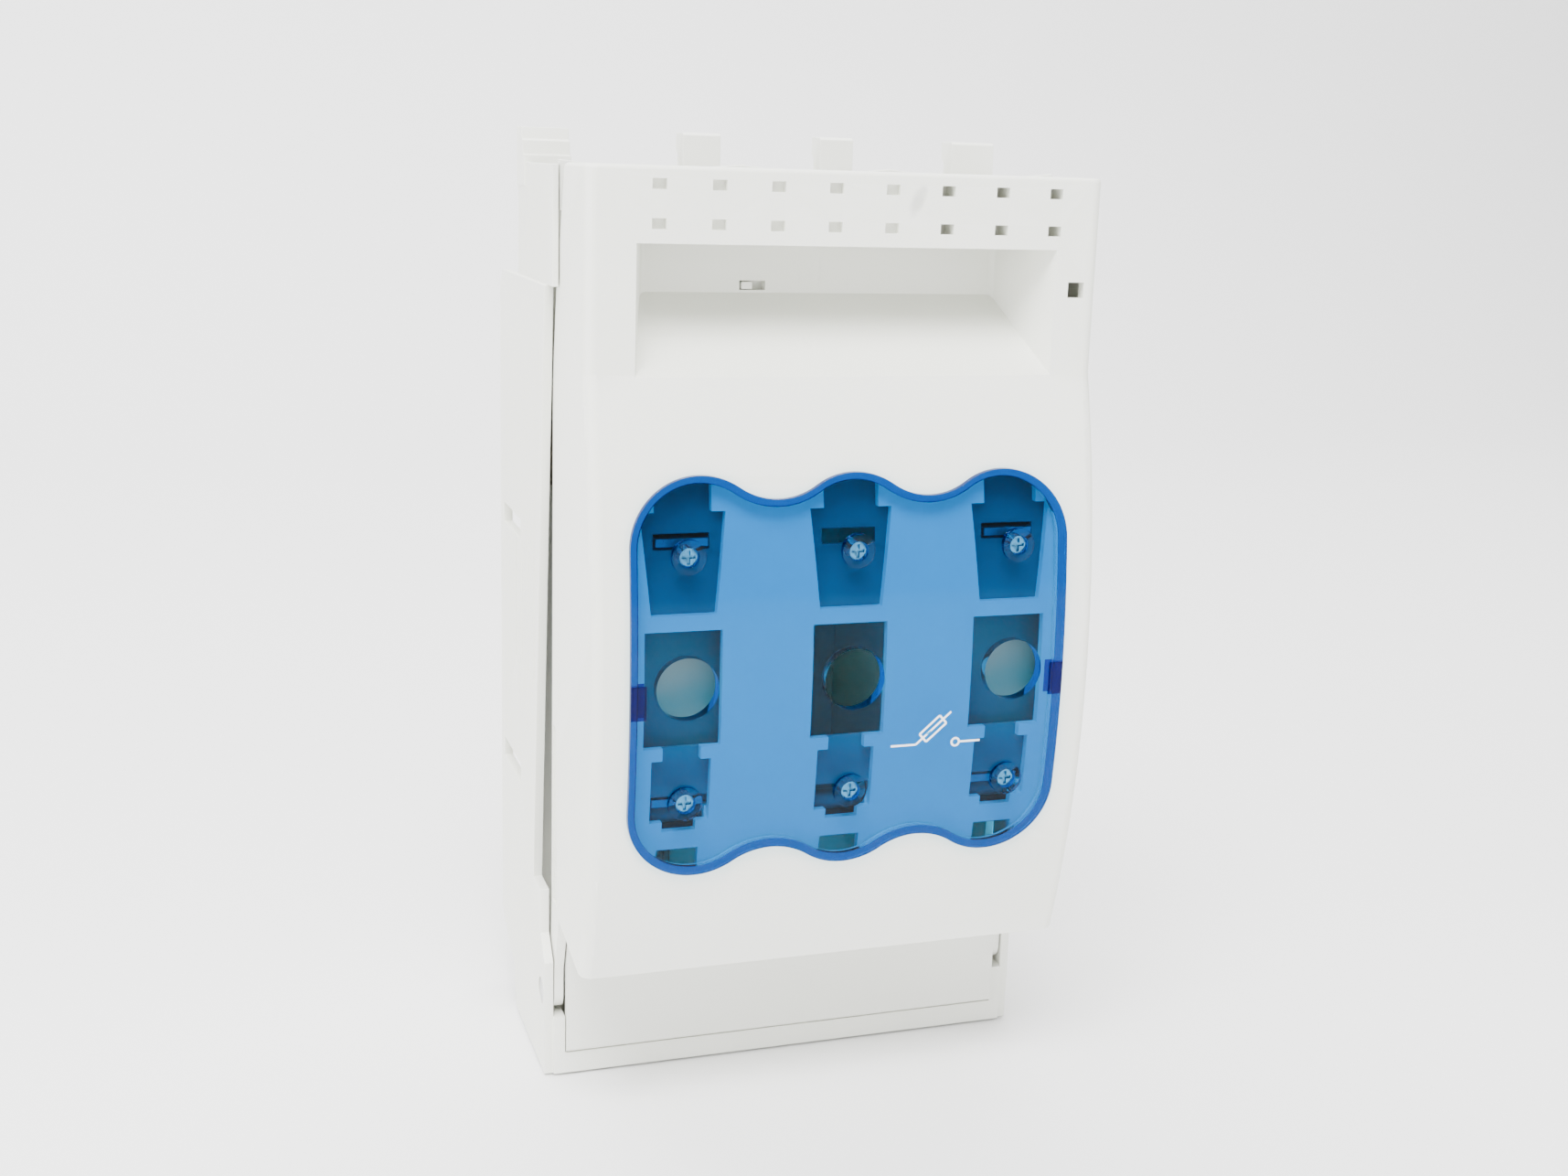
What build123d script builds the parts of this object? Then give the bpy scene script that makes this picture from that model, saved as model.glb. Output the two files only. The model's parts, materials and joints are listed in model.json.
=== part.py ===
from build123d import *
from math import sqrt, radians, cos, sin
import os

os.makedirs("parts", exist_ok=True)

# Three-pole fuse switch disconnector for size 00 blade fuse-links.
# X runs along the row of poles, the front is -Y, and +Z is up as it hangs on its panel.
# The origin is on the rear mounting plane, at the centre of the four fixing holes.

# ---- driving dimensions, millimetres ----
pole_pitch = 33.0
base_width = 106.0
base_wall = 1.9
base_bottom = -94.0
base_top = 92.6
hook_top = 99.5
step_height = 70.0
side_gap = 0.3
floor_front = -31.0
floor_thick = 2.5

lid_wall = 1.9
lid_front_wall = 2.2
lid_bottom = -61.5
lid_top = 93.0
arch_top = 56.0
arch_radius = 213.0
arch_peak = -84.0
lid_rear = -47.2
lid_rear_top = -57.6
lid_low_rise = 4.5
grip_bar_height = 13.6
grip_half_width = 41.5
grip_back_half_width = 36.3
grip_back = -57.5
grip_floor_rise = 14.0
grip_bar_depth = 8.0
slot_pitch = 11.15
slot_count = 8
slot_row_shift = 1.65
slot_half_width = 1.35
slot_half_height = 0.95
shallow_slot_depth = 1.3
shallow_slot_count = 5
deep_slot_depth = 4.5
seal_hole_x = 46.0
seal_hole_z = 71.8

hinge_y = -46.8
hinge_z = -76.7
hinge_pin_radius = 2.5
hinge_gap = 0.3
hinge_arm_radius = 3.5

window_raise = 1.2
window_plug = 1.3
window_wave_pitch = 30.3
window_wave_depth = 4.65
window_top = 38.1
window_bottom = -39.2
window_lap = 1.4
window_gap = 0.15
sight_hole_radius = 6.0
probe_spacing = 47.2
probe_outer_radius = 3.3
probe_hole_radius = 1.9
probe_proud = 1.0
probe_recess = 0.7

carrier_gap = 0.2
carrier_thick = 1.6
carrier_half_width = 48.4
carrier_top = 45.4
carrier_bottom = -55.0
pad_radius = 3.9
pad_gap = 0.4
pad_x = 43.6
pad_z_top = 39.6
pad_z_bottom = -50.0
clamp_gap = 0.1
clamp_thick = 0.9

fuse_width = 29.0
fuse_depth = 40.0
fuse_body_height = 49.0
fuse_length = 78.5
fuse_front = -76.4
fuse_wall = 5.0
cap_thick = 1.5
blade_thick = 6.0
blade_depth = 15.0
blade_setback = 6.0
lug_depth = 2.2

jaw_gap = 0.1
jaw_clearance = 1.9
jaw_thick = 2.0
jaw_height = 13.5
strip_width = 18.0
strip_thick = 3.0
terminal_z = 78.0
strip_end = 87.5
strip_screw_z = 53.0
bolt_radius = 4.0
bolt_head_flats = 13.0
bolt_head_height = 5.3
washer_radius = 8.0
washer_thick = 1.6
nut_height = 4.0
partition_thick = 2.2
fixing_x = pole_pitch / 2
fixing_z = 50.0
fixing_hole_radius = 2.75

chute_half = 15.2
chute_wall = 1.4
chute_front = -68.5
chute_bottom = 28.2
chute_height = 20.0
arc_plate_thick = 1.2
arc_plate_pitch = 3.2
arc_plate_count = 4
arc_slot_half = 7.4

cover_thick = 2.0
lower_cover_front = -52.2
lower_cover_half = 48.5
upper_cover_front = -53.2
upper_cover_half = 48.2

lever_pin_radius = 1.2
lever_pin_gap = 0.05
lever_half = 5.0
lock_travel = 2.4

# ---- sizes worked out from them ----
base_half = base_width / 2
base_inner = base_half - base_wall
lid_half = base_inner - side_gap
lid_inner = lid_half - lid_wall
arch_centre_y = arch_peak + arch_radius
arch_centre_z = (lid_bottom + arch_top) / 2
pole_x = [-pole_pitch, 0.0, pole_pitch]
pole_name = ["left", "centre", "right"]
fused_poles = [0, 2]
half_fuse = fuse_body_height / 2
cap_outer = half_fuse + cap_thick
blade_rear = fuse_front + fuse_depth - blade_setback
blade_front = blade_rear - blade_depth
web_front = blade_rear + 1.0
strip_back = web_front + strip_thick
jaw_start = cap_outer + jaw_clearance
jaw_inner = blade_thick / 2 + jaw_gap
jaw_outer = jaw_inner + jaw_thick
boss_z = probe_spacing / 2


def arch_y(offset, z):
    """Y of the lid's curved front at height z, moved outwards by offset."""
    return arch_centre_y - sqrt((arch_radius + offset) ** 2 - (z - arch_centre_z) ** 2)


grip_front = arch_y(0, arch_top)
grip_top = lid_top - grip_bar_height


def block(x0, x1, y0, y1, z0, z1, mode=Mode.ADD):
    with Locations(((x0 + x1) / 2, (y0 + y1) / 2, (z0 + z1) / 2)):
        Box(abs(x1 - x0), abs(y1 - y0), abs(z1 - z0), mode=mode)


def rod(x, y, z, radius, length, mode=Mode.ADD):
    """Cylinder along Y from y, running length towards +Y."""
    with Locations((x, y + length / 2, z)):
        Cylinder(radius, length, rotation=(90, 0, 0), mode=mode)


def cross_rod(x0, x1, y, z, radius, mode=Mode.ADD):
    with Locations(((x0 + x1) / 2, y, z)):
        Cylinder(radius, abs(x1 - x0), rotation=(0, 90, 0), mode=mode)


def side_plate(points, x0, x1, mode=Mode.ADD):
    """Plate across X from a closed outline of (y, z) points."""
    with BuildSketch(Plane.YZ.offset(x0)) as outline:
        with BuildLine():
            Polyline(*points, close=True)
        make_face()
    extrude(outline.sketch, amount=x1 - x0, mode=mode)


def finish(part, name):
    part.label = name
    export_step(part, "parts/" + name + ".step")


def arch_shell(outer, inner, half_width, z_low, z_high):
    """Curved plate between two offsets of the lid's front arch."""
    z_mid = (z_low + z_high) / 2
    with BuildSketch(Plane.YZ.offset(-half_width)) as section:
        with BuildLine():
            a = (arch_y(outer, z_low), z_low)
            b = (arch_y(outer, z_mid), z_mid)
            c = (arch_y(outer, z_high), z_high)
            d = (arch_y(inner, z_high), z_high)
            e = (arch_y(inner, z_mid), z_mid)
            f = (arch_y(inner, z_low), z_low)
            ThreePointArc(a, b, c)
            Line(c, d)
            ThreePointArc(d, e, f)
            Line(f, a)
        make_face()
    extrude(section.sketch, amount=2 * half_width)


# ---- base housing ----
wall_outline = [
    (-49.2, step_height),
    (-38.5, -54.5),
    (-46.2, -54.5),
    (-46.2, -64.0),
    (-50.8, -69.0),
    (-50.8, base_bottom),
    (-18.6, base_bottom),
    (-15.8, -90.0),
    (-15.0, -84.5),
    (-2.0, -79.0),
    (0.0, -76.0),
    (0.0, 67.0),
    (-3.0, step_height),
]
block_outline = [
    (-53.7, step_height),
    (-53.7, base_top),
    (-18.2, base_top),
    (-18.2, step_height),
]
hook_outline = [
    (-24.0, base_top - 2.6),
    (-23.6, hook_top - 0.5),
    (-23.0, hook_top),
    (-18.2, hook_top),
    (-18.2, hook_top - 3.7),
    (-19.4, hook_top - 4.3),
    (-19.4, base_top - 2.6),
]
lug_outline = [
    (-26.6, base_top - 4.6),
    (-26.2, hook_top - 5.5),
    (-25.0, hook_top - 5.3),
    (-24.8, hook_top - 2.6),
    (-23.8, hook_top - 2.3),
    (-23.2, hook_top),
    (-18.2, hook_top),
    (-18.2, base_top - 4.6),
]
hook_spans = [(-19.2, -11.1), (10.8, 18.2), (40.9, 50.8)]
lug_span = (-52.6, -43.0)
rim_front = -51.5
rim_top = -89.3
rim_corner_top = -81.2
rim_corner_inner = 48.7
base_step = 0.7
rib_levels = [-76.2, 0.0, 64.8]
rib_half = 1.2
rear_wall = -20.4
rear_wall_thick = 2.2


def side_wall(x, side):
    """One side wall, with its hinge eye, two long slots and the raised block at the top."""
    with BuildSketch(Plane.YZ.offset(x)) as outline:
        with BuildLine():
            Polyline(*wall_outline, close=True)
        make_face()
        with Locations((hinge_y, hinge_z)):
            Circle(hinge_pin_radius + hinge_gap, mode=Mode.SUBTRACT)
        with Locations((-14.0, 17.5), (-14.0, -36.5)):
            Rectangle(20.0, 4.2, mode=Mode.SUBTRACT)
    extrude(outline.sketch, amount=side * base_wall)
    side_plate(block_outline, x, x + side * (base_wall - base_step))


with BuildPart() as base_housing:
    for side in (-1, 1):
        side_wall(side * base_inner, side)
        # fine grip grooves
        for y in (-18.5, -25.6, -32.7, -38.8):
            block(side * (base_half - 0.4), side * base_half, y - 0.5, y + 0.5, -11.3, 14.6, Mode.SUBTRACT)
    # floor between the side walls, and the ribs behind it that stand on the panel
    block(-base_inner, base_inner, floor_front, floor_front + floor_thick, -90.0, 91.0)
    for z in rib_levels:
        block(-base_inner, base_inner, floor_front + 1.0, 0.0, z - rib_half, z + rib_half)
    block(-base_inner, base_inner, rear_wall, rear_wall + rear_wall_thick, rib_levels[2], base_top)
    block(-base_inner, base_inner, -49.2, rear_wall + rear_wall_thick, base_bottom, base_bottom + 2.4)
    # raised lip along the bottom, with a taller block at each end
    block(-base_inner, base_inner, rim_front, -49.0, base_bottom, rim_top)
    for side in (-1, 1):
        block(side * rim_corner_inner, side * base_inner, rim_front, -40.0, base_bottom, rim_corner_top)
    # pads under the copper strips
    for x in pole_x:
        for z in (60.0, -66.0):
            block(x - 12.0, x + 12.0, strip_back, floor_front + 1.0, z, z + 6.0)
    # hooks along the rear top edge, and the broad lug at its left end
    for x0, x1 in hook_spans:
        side_plate(hook_outline, x0, x1)
    side_plate(lug_outline, lug_span[0], lug_span[1])
    for x in pole_x:
        # cable ways through the bottom wall
        block(x - 10.0, x + 10.0, -46.0, -33.0, base_bottom - 1.0, base_bottom + 3.0, Mode.SUBTRACT)
        # screw bosses under each copper strip
        for side in (-1, 1):
            rod(x, strip_back, side * strip_screw_z, 4.5, floor_front + 1.0 - strip_back)
            rod(x, strip_back - 1.0, side * strip_screw_z, 1.6, 12.0, Mode.SUBTRACT)
    # towers and holes for the four fixing screws
    for x in (-fixing_x, fixing_x):
        for z in (-fixing_z, fixing_z):
            rod(x, floor_front, z, 6.2, -floor_front)
            rod(x, floor_front - 2.0, z, fixing_hole_radius, 40.0, Mode.SUBTRACT)
finish(base_housing.part, "base_housing")

# ---- barriers between the poles: beside the fuses, and beside the upper and lower terminals ----
with BuildPart() as phase_barriers:
    for x in (-pole_pitch / 2, pole_pitch / 2):
        x0 = x - partition_thick / 2
        x1 = x + partition_thick / 2
        block(x0, x1, -69.5, floor_front, -43.0, 43.0)
        block(x0, x1, upper_cover_front + cover_thick, floor_front, 57.5, base_top)
        block(x0, x1, lower_cover_front + cover_thick, floor_front, -88.8, lid_bottom - 1.4)
finish(phase_barriers.part, "phase_barriers")

# ---- upper and lower terminal covers ----
with BuildPart() as upper_terminal_cover:
    with BuildSketch(Plane.XZ.offset(-upper_cover_front)):
        with BuildLine():
            top = base_top + 0.9
            dip = base_top - 0.1
            wide = base_inner - 0.3
            Polyline((-wide, top), (-wide, 84.0), (-upper_cover_half, 84.0), (-upper_cover_half, 67.5),
                     (upper_cover_half, 67.5), (upper_cover_half, 84.0), (wide, 84.0), (wide, top))
            ThreePointArc((wide, top), (pole_pitch - 1.5, dip), (pole_pitch / 2 - 1.3, top))
            ThreePointArc((pole_pitch / 2 - 1.3, top), (0, dip), (1.3 - pole_pitch / 2, top))
            ThreePointArc((1.3 - pole_pitch / 2, top), (1.5 - pole_pitch, dip), (-wide, top))
        make_face()
    extrude(amount=-cover_thick)
    # stiffening lips behind the scoops, and two snap legs
    for x in pole_x:
        block(x - 11.0, x + 11.0, upper_cover_front + cover_thick, -46.5, base_top - 2.4, base_top - 0.6)
    for x in (-46.5, 46.5):
        block(x - 1.2, x + 1.2, upper_cover_front + cover_thick, floor_front, 76.0, 84.0)
finish(upper_terminal_cover.part, "upper_terminal_cover")

with BuildPart() as lower_terminal_cover:
    block(-lower_cover_half, lower_cover_half, lower_cover_front, lower_cover_front + cover_thick, -89.0, -62.9)
    edge = lower_terminal_cover.edges().filter_by(Axis.X).group_by(Axis.Y)[0]
    fillet(edge, 0.8)
    for x in (-45.0, 45.0):
        block(x - 1.2, x + 1.2, lower_cover_front + cover_thick, floor_front, -88.0, -79.0)
finish(lower_terminal_cover.part, "lower_terminal_cover")

# ---- copper contacts, one pair per pole ----


def jaw_solid(x, side):
    """Jaw with its strip: side is +1 for the upper contact and -1 for the lower one."""
    near = side * jaw_start
    far = side * (jaw_start + jaw_height)
    block(x - jaw_outer, x + jaw_outer, web_front, web_front + jaw_thick, near, far)
    for s in (-1, 1):
        block(x + s * jaw_inner, x + s * jaw_outer, blade_front + 1.0, web_front, near, far)
        lead = [(x + s * jaw_inner, blade_front + 1.0), (x + s * jaw_outer, blade_front + 1.0),
                (x + s * (jaw_outer + 1.6), blade_front - 1.6), (x + s * (jaw_inner + 1.6), blade_front - 1.6)]
        with BuildSketch(Plane.XY.offset(min(near, far))) as lip:
            with BuildLine():
                Polyline(*lead, close=True)
            make_face()
        extrude(lip.sketch, amount=jaw_height)
    block(x - strip_width / 2, x + strip_width / 2, web_front, strip_back, far, side * strip_end)
    rod(x, web_front - 1.0, side * terminal_z, bolt_radius + 0.05, 6.0, Mode.SUBTRACT)
    rod(x, web_front - 1.0, side * strip_screw_z, 2.1, 6.0, Mode.SUBTRACT)


def spring_solid(x, side):
    """Spring clip that presses the two jaw plates together."""
    z0 = side * (jaw_start + 3.0)
    z1 = side * (jaw_start + 10.0)
    for s in (-1, 1):
        block(x + s * jaw_outer, x + s * (jaw_outer + 0.9), blade_front + 3.0, web_front + jaw_thick + 0.9, z0, z1)
    block(x - jaw_outer, x + jaw_outer, web_front + jaw_thick, web_front + jaw_thick + 0.9, z0, z1)


for x, pole in zip(pole_x, pole_name):
    for side, level in ((1, "upper"), (-1, "lower")):
        with BuildPart() as contact:
            jaw_solid(x, side)
        finish(contact.part, level + "_contact_" + pole)
        with BuildPart() as clip:
            spring_solid(x, side)
        finish(clip.part, level + "_jaw_spring_" + pole)

# ---- terminal hardware, the same at all six terminals ----
terminals = [(x, side * terminal_z) for x in pole_x for side in (-1, 1)]
head_back = web_front - washer_thick

with BuildPart() as terminal_bolts:
    for x, z in terminals:
        with BuildSketch(Plane.XZ.offset(-head_back)):
            with Locations((x, z)):
                RegularPolygon(bolt_head_flats / 2, 6, major_radius=False)
        extrude(amount=bolt_head_height)
        rod(x, head_back, z, bolt_radius, floor_front - 0.6 - head_back)
finish(terminal_bolts.part, "terminal_bolts")

with BuildPart() as terminal_washers:
    for x, z in terminals:
        rod(x, head_back, z, washer_radius, washer_thick)
        rod(x, head_back, z, bolt_radius + 0.4, washer_thick, Mode.SUBTRACT)
finish(terminal_washers.part, "terminal_washers")

with BuildPart() as terminal_nuts:
    for x, z in terminals:
        with BuildSketch(Plane.XZ.offset(-strip_back)):
            with Locations((x, z)):
                RegularPolygon(bolt_head_flats / 2, 6, major_radius=False)
                Circle(bolt_radius + 0.02, mode=Mode.SUBTRACT)
        extrude(amount=-nut_height)
finish(terminal_nuts.part, "terminal_nuts")

with BuildPart() as contact_screws:
    for x in pole_x:
        for side in (-1, 1):
            rod(x, web_front - 2.2, side * strip_screw_z, 3.8, 2.2)
            rod(x, web_front, side * strip_screw_z, 1.55, 9.5)
            block(x - 2.8, x + 2.8, web_front - 2.2, web_front - 1.2,
                  side * strip_screw_z - 0.5, side * strip_screw_z + 0.5, Mode.SUBTRACT)
finish(contact_screws.part, "contact_screws")

# ---- arc chambers over the upper jaws ----
chute_top = chute_bottom + chute_height
for x, pole in zip(pole_x, pole_name):
    with BuildPart() as chamber:
        for s in (-1, 1):
            block(x + s * (chute_half - chute_wall), x + s * chute_half, chute_front, floor_front,
                  chute_bottom, chute_top)
        block(x - chute_half, x + chute_half, chute_front, web_front - 1.5, chute_top - chute_wall, chute_top)
    finish(chamber.part, "arc_chamber_" + pole)
    with BuildPart() as plates:
        for i in range(arc_plate_count):
            y0 = chute_front + 1.0 + i * arc_plate_pitch
            half = chute_half - chute_wall
            block(x - half, x + half, y0, y0 + arc_plate_thick, chute_bottom, chute_top - chute_wall)
            block(x - arc_slot_half, x + arc_slot_half, y0 - 0.5, y0 + arc_plate_thick + 0.5,
                  chute_bottom - 1.0, chute_top - chute_wall - 3.5, Mode.SUBTRACT)
    finish(plates.part, "arc_plates_" + pole)

# ---- lid cover with its grip ----
grip_floor_front = arch_top - 0.5
grip_floor_back = grip_floor_front + grip_floor_rise
grip_ceiling = lid_top - 3.6
bar_back = grip_front + grip_bar_depth

with BuildPart() as grip_hollow:
    side_plate([(grip_front - 1.5, grip_floor_front - 1.1), (grip_back, grip_floor_back), (grip_back, grip_ceiling),
                (bar_back, grip_ceiling), (bar_back, grip_top), (grip_front - 1.5, grip_top)],
               -grip_half_width, grip_half_width)
    with BuildSketch(Plane.XY.offset(grip_floor_front - 5.0)):
        with BuildLine():
            Polyline((-grip_half_width, grip_front - 1.5), (grip_half_width, grip_front - 1.5),
                     (grip_half_width, grip_front), (grip_back_half_width, grip_back),
                     (-grip_back_half_width, grip_back), (-grip_half_width, grip_front), close=True)
        make_face()
    extrude(amount=60.0, mode=Mode.INTERSECT)
    back_edges = grip_hollow.edges().filter_by(Axis.Z).group_by(Axis.Y)[-1]
    fillet(back_edges, 1.5)

lid_low_slope = lid_low_rise / (lid_rear - grip_front)

with BuildPart() as lid_cavity:
    with BuildSketch(Plane.YZ.offset(-lid_inner)):
        with BuildLine():
            low = lid_bottom + lid_front_wall
            a = (arch_y(-lid_front_wall, low), low)
            b = (arch_y(-lid_front_wall, arch_centre_z), arch_centre_z)
            c = (arch_y(-lid_front_wall, arch_top), arch_top)
            ThreePointArc(a, b, c)
            Polyline(c, (c[0], lid_top - lid_front_wall), (10.0, lid_top - lid_front_wall),
                     (10.0, low + (10.0 - a[0]) * lid_low_slope), a)
        make_face()
    extrude(amount=2 * lid_inner)
    side_plate([(-90.0, arch_top - 4.6), (grip_front + 2.0, arch_top - 4.6),
                (grip_back + 2.2, grip_floor_back - 1.8), (grip_back + 2.2, 100.0), (-90.0, 100.0)],
               -grip_half_width - 2.0, grip_half_width + 2.0, Mode.SUBTRACT)


def wave_face(inset):
    """Window outline: three crests above and below, all drawn with arcs of one radius."""
    quarter = window_wave_pitch / 4
    radius = (quarter ** 2 + (window_wave_depth / 2) ** 2) / window_wave_depth
    half = window_wave_pitch + radius
    with BuildSketch(Plane.XZ.offset(90.0)) as outline:
        with BuildLine():
            for up, edge in ((1, window_top), (-1, window_bottom)):
                valley = edge - up * window_wave_depth
                middle = edge - up * window_wave_depth / 2
                for i in (-1, 0, 1):
                    x = i * window_wave_pitch
                    if i > -1:
                        ThreePointArc((x - 3 * quarter, middle), (x - 2 * quarter, valley), (x - quarter, middle))
                        ThreePointArc((x - quarter, middle), (x - quarter / 2, edge - up * (radius - sqrt(
                            radius ** 2 - (quarter / 2) ** 2))), (x, edge))
                    if i < 1:
                        ThreePointArc((x, edge), (x + quarter / 2, edge - up * (radius - sqrt(
                            radius ** 2 - (quarter / 2) ** 2))), (x + quarter, middle))
                for s in (-1, 1):
                    ThreePointArc((s * window_wave_pitch, edge),
                                  (s * (half - radius + radius * sin(radians(45))),
                                   edge - up * radius * (1 - cos(radians(45)))),
                                  (s * half, edge - up * radius))
            for s in (-1, 1):
                Line((s * half, window_top - radius), (s * half, window_bottom + radius))
        make_face()
    if inset == 0:
        return outline.sketch
    return offset(outline.sketch, amount=-inset, mode=Mode.PRIVATE)


with BuildPart() as lid_cover:
    with BuildSketch(Plane.YZ.offset(-lid_half)):
        with BuildLine():
            a = (arch_y(0, lid_bottom), lid_bottom)
            b = (arch_peak, arch_centre_z)
            c = (grip_front, arch_top)
            ThreePointArc(a, b, c)
            Polyline(c, (grip_front, lid_top), (lid_rear_top, lid_top), (lid_rear - 3.0, 69.0),
                     (lid_rear, 52.0), (lid_rear, lid_bottom + lid_low_rise), a)
        make_face()
    extrude(amount=2 * lid_half)
    long_edges = lid_cover.edges().filter_by(Axis.Z).group_by(Axis.Y)[0]
    arch_edges = lid_cover.edges().filter_by(GeomType.CIRCLE)
    fillet(long_edges + arch_edges, 2.4)
    top_edge = lid_cover.edges().filter_by(Axis.X).group_by(Axis.Z)[-1].sort_by(Axis.Y)[0]
    fillet(top_edge, 0.8)
    add(lid_cavity.part, mode=Mode.SUBTRACT)
    add(grip_hollow.part, mode=Mode.SUBTRACT)
    # window opening
    extrude(wave_face(window_lap), amount=-20.0, mode=Mode.SUBTRACT)
    # two rows of small blind slots in the grip bar, the last columns cut deeper
    for i in range(slot_count):
        x = slot_row_shift + (i - (slot_count - 1) / 2) * slot_pitch
        depth = shallow_slot_depth if i < shallow_slot_count else deep_slot_depth
        for z in (89.9, 82.9):
            block(x - slot_half_width, x + slot_half_width, grip_front - 1.0, grip_front + depth,
                  z - slot_half_height, z + slot_half_height, Mode.SUBTRACT)
    # square seal hole through the right cheek of the front
    block(seal_hole_x - 1.7, seal_hole_x + 1.7, grip_front - 1.0, grip_front + 4.5,
          seal_hole_z - 1.5, seal_hole_z + 1.5, Mode.SUBTRACT)
    # slot for the lock slide in the back wall of the grip
    block(-16.6, -11.4, grip_back - 1.0, grip_back + 4.0, 70.0, 71.8, Mode.SUBTRACT)
    # guide ribs for the lock slide
    for z in (67.0, 73.6):
        block(-23.0, -5.0, grip_back + 2.0, grip_back + 3.7, z, z + 1.2)
    # hinge arms
    for side in (-1, 1):
        side_plate([(-54.4, lid_bottom + 6.0), (-53.8, lid_bottom + 1.0), (hinge_y - hinge_arm_radius, hinge_z + 6.0),
                    (hinge_y - hinge_arm_radius, hinge_z), (hinge_y + 1.2, hinge_z), (lid_rear, lid_bottom + 6.0)],
                   side * lid_inner, side * lid_half)
        cross_rod(side * lid_inner, side * lid_half, hinge_y, hinge_z, hinge_arm_radius)
        cross_rod(side * (lid_inner - 1), side * (lid_half + 1), hinge_y, hinge_z, hinge_pin_radius, Mode.SUBTRACT)
    # screw pads for the carrier
    for x in (-pad_x, pad_x):
        for z in (pad_z_top, pad_z_bottom):
            y0 = arch_y(-1.0, z)
            y1 = arch_y(-carrier_gap - lid_front_wall - carrier_thick, z) + 0.1
            rod(x, y0, z, pad_radius, y1 - y0)
            rod(x, y1 - 3.6, z, 1.25, 6.0, Mode.SUBTRACT)
    # shallow relief low on each side wall
    for side in (-1, 1):
        side_plate([(-52.5, -56.0), (-52.5, -24.0), (-50.5, -18.0), (lid_rear - 0.9, -18.0),
                    (lid_rear - 0.9, -56.0)], side * (lid_half - 0.5), side * (lid_half + 1), Mode.SUBTRACT)
finish(lid_cover.part, "lid_cover")

for side, name in ((-1, "left"), (1, "right")):
    with BuildPart() as hinge_pin:
        cross_rod(side * lid_inner, side * (base_half - 0.3), hinge_y, hinge_z, hinge_pin_radius)
    finish(hinge_pin.part, "hinge_pin_" + name)

# ---- inspection window ----
with BuildPart() as inspection_window:
    arch_shell(window_raise, 0.0, base_half, -45.0, 45.0)
    extrude(wave_face(0), amount=-30.0, mode=Mode.INTERSECT)
with BuildPart() as window_plug_body:
    arch_shell(0.0, -window_plug, base_half, -45.0, 45.0)
    extrude(wave_face(window_lap + window_gap), amount=-30.0, mode=Mode.INTERSECT)
with BuildPart() as window:
    add(inspection_window.part)
    add(window_plug_body.part)
    # snap blocks at both sides and probe bosses over the fuse lugs
    for side in (-1, 1):
        y = arch_y(window_raise, 0)
        block(side * 41.0, side * 43.4, y - 0.3, y + window_raise - 0.3, -6.6, -0.2)
    for x in pole_x:
        for z in (-boss_z, boss_z):
            y = arch_y(window_raise, z)
            rod(x, y - probe_proud, z, probe_outer_radius, 3.0)
            rod(x, y - 3.0, z, probe_hole_radius, 9.0, Mode.SUBTRACT)
        rod(x, -90.0, -1.2, sight_hole_radius, 14.0, Mode.SUBTRACT)
finish(window.part, "inspection_window")

# ---- test contacts, one in each probe boss, with a cross recess ----
with BuildPart() as test_contacts:
    for x in pole_x:
        for z in (-boss_z, boss_z):
            y = arch_y(window_raise, z) - probe_proud + probe_recess
            rod(x, y, z, probe_hole_radius, 3.2)
            block(x - 1.3, x + 1.3, y - 0.1, y + 0.6, z - 0.3, z + 0.3, Mode.SUBTRACT)
            block(x - 0.3, x + 0.3, y - 0.1, y + 0.6, z - 1.3, z + 1.3, Mode.SUBTRACT)
finish(test_contacts.part, "test_contacts")

# ---- fuse carrier behind the window ----
carrier_front = -lid_front_wall - carrier_gap
carrier_back = carrier_front - carrier_thick
lever_y = arch_y(carrier_back, -33.0) + 2.6
lever_z = -cap_outer - 2.2

with BuildPart() as fuse_carrier:
    arch_shell(carrier_front, carrier_back, carrier_half_width, carrier_bottom, carrier_top)
    for x in pole_x:
        with BuildSketch(Plane.XZ.offset(90.0)):
            with BuildLine():
                Polyline((x - 5.5, carrier_top + 1), (x - 5.5, 31.0), (x - 8.2, 31.0), (x - 6.3, 12.0),
                         (x + 6.3, 12.0), (x + 8.2, 31.0), (x + 5.5, 31.0), (x + 5.5, carrier_top + 1), close=True)
            make_face()
            with BuildLine():
                Polyline((x - 7.5, 9.0), (x - 7.5, -13.5), (x - 3.7, -13.5), (x - 3.7, -16.0), (x - 5.8, -16.0),
                         (x - 5.8, -28.6), (x - 3.3, -28.6), (x - 3.3, -30.5), (x + 3.3, -30.5), (x + 3.3, -28.6),
                         (x + 5.8, -28.6), (x + 5.8, -16.0), (x + 3.7, -16.0), (x + 3.7, -13.5), (x + 7.5, -13.5),
                         (x + 7.5, 9.0), close=True)
            make_face()
            with Locations((x, -38.6)):
                Rectangle(8.2, 8.4)
        extrude(amount=-20.0, mode=Mode.SUBTRACT)
        # upper fingers that rest on the fuse's top cap, and ears for the release lever
        for s in (-1, 1):
            block(x + s * 9.0, x + s * 12.0, arch_y(carrier_back, 28.0) - 0.4, -71.2,
                  cap_outer + 0.3, cap_outer + 1.5)
            block(x + s * (lever_half + 0.4), x + s * (lever_half + 2.0), arch_y(carrier_back, -33.0) - 0.6,
                  lever_y + 2.4, lever_z - 2.4, lever_z + 1.8)
            cross_rod(x + s * (lever_half + 0.3), x + s * (lever_half + 2.1), lever_y, lever_z,
                      lever_pin_radius, Mode.SUBTRACT)
    for x in (-pad_x, pad_x):
        for z in (pad_z_top, pad_z_bottom):
            rod(x, -90.0, z, pad_radius + pad_gap, 30.0, Mode.SUBTRACT)
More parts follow.
